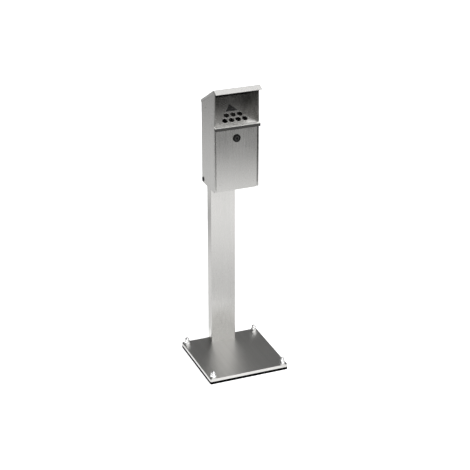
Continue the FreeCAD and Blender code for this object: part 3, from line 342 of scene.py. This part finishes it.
def moulded(name, dark, light, rough, size, relief, gloss):
    """Rubber or plastic with a fine moulded grain and some dust in its hollows."""
    material = bpy.data.materials.new(name)
    tree = Tree(material)
    place = tree.place()
    grain = tree.noise(place, (size, size, size), 3.0, 0.6)
    dust = tree.noise(place, (25 * MM, 25 * MM, 8 * MM), 4.0, 0.65, 2.0)
    colour = tree.ramp(tree.spread(dust, 0.35, 0.75, 0.0, 1.0), [(0.0, dark), (1.0, light)])
    worn = tree.math("ADD", tree.spread(grain, 0.3, 0.7, rough - 0.08, rough + 0.08),
                     tree.spread(dust, 0.4, 0.7, 0.0, 0.08))
    bump = tree.add("ShaderNodeBump", {"Strength": relief, "Distance": 0.15 * MM, "Height": grain})
    shader = tree.add(
        "ShaderNodeBsdfPrincipled",
        {"Base Color": colour, "Roughness": worn, "Normal": bump.outputs[0], "Specular IOR Level": gloss},
    )
    tree.add("ShaderNodeOutputMaterial", {0: shader.outputs[0]})
    return material


STEEL = (0.62, 0.615, 0.60)
SILL = Vector((0.0, -25.0, 923.5)) * MM


def rimmed_pad(name):
    """Stub-out pad: a polished rim round a dull, blackened middle scored crosswise."""
    material = bpy.data.materials.new(name)
    tree = Tree(material)
    place = tree.place()
    slope = math.radians(PLATE_SLOPE)
    upward = Vector((0.0, -math.sin(slope), math.cos(slope)))
    height = tree.add("ShaderNodeVectorMath", {0: place, 1: upward}, operation="DOT_PRODUCT").outputs["Value"]
    plate_height = upward.dot(SILL)
    rim = tree.spread(height, plate_height + 0.9 * MM, plate_height + 1.4 * MM, 0.0, 1.0)
    scores = tree.noise(place, (30 * MM, 0.5 * MM, 0.5 * MM), 3.0, 0.6, 2.9)
    soot_and_painted_shade = tree.noise(place, (9 * MM, 7 * MM, 7 * MM), 4.0, 0.6, 6.3)
    middle = tree.ramp(tree.spread(soot_and_painted_shade, 0.35, 0.7, 0.0, 1.0), [(0.0, 0.05), (0.6, 0.13), (1.0, 0.22)])
    bright = tree.ramp(tree.spread(scores, 0.3, 0.7, 0.0, 1.0), [(0.0, 0.66), (1.0, 0.78)])
    colour = tree.add("ShaderNodeMix", {0: rim, 6: middle, 7: bright}, data_type="RGBA").outputs[2]
    roughness = tree.math("ADD", tree.spread(rim, 0.0, 1.0, 0.5, 0.2), tree.spread(scores, 0.3, 0.7, -0.06, 0.06))
    bump = tree.add("ShaderNodeBump", {"Strength": 0.3, "Distance": 0.03 * MM, "Height": scores})
    shader = tree.add(
        "ShaderNodeBsdfPrincipled",
        {"Base Color": colour, "Metallic": 1.0, "Roughness": roughness, "Normal": bump.outputs[0]},
    )
    tree.add("ShaderNodeOutputMaterial", {0: shader.outputs[0]})
    return material


materials = {
    "base_steel": brushed_steel("base_steel", FRONT_TO_BACK, STEEL, 0.38, 0.03, 0.0, 0.6),
    "post_steel": brushed_steel("post_steel", UPRIGHT, STEEL, 0.28, 0.012, 1.7),
    "head_steel": brushed_steel("head_steel", UPRIGHT, STEEL, 0.26, 0.035, 4.2),
    "plate_steel": brushed_steel("plate_steel", ACROSS, STEEL, 0.24, 0.02, 6.1, nose_painted_light=True),
    "front_steel": brushed_steel("front_steel", UPRIGHT, STEEL, 0.26, 0.012, 9.4),
    "roof_steel": brushed_steel("roof_steel", DOWN_ROOF, STEEL, 0.26, 0.03, 5.3, shade_painted_underneath=True),
    "pad_steel": rimmed_pad("pad_steel"),
    "hole_rim_steel": smooth_metal("hole_rim_steel", (0.74, 0.73, 0.71), 0.22, 0.04, 3 * MM),
    "ash_steel": smooth_metal("ash_steel", (0.1, 0.098, 0.094), 0.5, 0.25, 9 * MM),
    "plain_steel": smooth_metal("plain_steel", (0.5, 0.5, 0.49), 0.32, 0.05, 6 * MM),
    "fastener_steel": smooth_metal("fastener_steel", (0.58, 0.57, 0.55), 0.26, 0.05, 3 * MM),
    "bright_steel": smooth_metal("bright_steel", (0.86, 0.86, 0.86), 0.06, 0.02, 5 * MM),
    "rubber": moulded("rubber", 0.001, 0.004, 0.88, 1.2 * MM, 0.5, 0.02),
    "black_plastic": moulded("black_plastic", 0.004, 0.01, 0.45, 0.8 * MM, 0.3, 0.2),
    "lock_black": moulded("lock_black", 0.002, 0.006, 0.5, 0.8 * MM, 0.25, 0.1),
    "lock_metal": smooth_metal("lock_metal", (0.09, 0.09, 0.09), 0.36, 0.1, 2 * MM),
}

OWN_FINISH = {"roof": "roof_steel", "stub_pad": "pad_steel", "ash_bin": "ash_steel"}
slot_of = {part["node"]: part["material_slot"] for part in frame["record"]["subparts"]}
for name, node in nodes.items():
    node.data.materials.clear()
    node.data.materials.append(materials[OWN_FINISH.get(name, slot_of[name])])


# ---------------------------------------------------------------- fine pieces

def ring_round(spot, across, along, outward, radius, profile, sides=56):
    """Points and faces of a ring whose cross-section is a list of (distance outside radius, height)."""
    points = []
    for side in range(sides):
        turn = 2.0 * math.pi * side / sides
        spoke = across * math.cos(turn) + along * math.sin(turn)
        points += [spot + spoke * (radius + out) + outward * rise for out, rise in profile]
    count = len(profile)
    faces = []
    for side in range(sides):
        following = (side + 1) % sides
        for step in range(count):
            after = (step + 1) % count
            faces.append((side * count + step, following * count + step,
                          following * count + after, side * count + after))
    return points, faces


def mesh_piece(name, parts, body, material):
    """One object made of several closed rings, riding on a body."""
    points = []
    faces = []
    for part_points, part_faces in parts:
        start = len(points)
        points += part_points
        faces += [tuple(start + corner for corner in face) for face in part_faces]
    mesh = bpy.data.meshes.new(name)
    mesh.from_pydata([tuple(point) for point in points], [], faces)
    mesh.validate()
    mesh.polygons.foreach_set("use_smooth", [True] * len(mesh.polygons))
    mesh.materials.append(material)
    made = bpy.data.objects.new(name, mesh)
    scene.collection.objects.link(made)
    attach(made, body)
    return made


# The drawn rim of each hole stands a little above the stub plate and catches the light.
HOLE_RADIUS = 9.5 * MM
HOLE_PITCH = 24.5 * MM
HOLE_ROWS = [(4, 20.9 * MM), (3, 42.1 * MM)]
RIM_PROFILE = [(0.02 * MM, -0.6 * MM), (0.02 * MM, 0.1 * MM), (0.3 * MM, 0.3 * MM), (0.7 * MM, 0.25 * MM),
               (1.0 * MM, 0.02 * MM), (1.0 * MM, -0.2 * MM)]
slope = math.radians(PLATE_SLOPE)
up_slope = Vector((0.0, math.cos(slope), math.sin(slope)))
off_plate = Vector((0.0, -math.sin(slope), math.cos(slope)))
sideways = Vector((1.0, 0.0, 0.0))
rims = []
for count, distance in HOLE_ROWS:
    for index in range(count):
        centre = SILL + up_slope * distance + sideways * HOLE_PITCH * (index - (count - 1) / 2)
        rims.append(ring_round(centre, sideways, up_slope, off_plate, HOLE_RADIUS, RIM_PROFILE))
mesh_piece("stub_hole_rims", rims, "frame", materials["hole_rim_steel"])
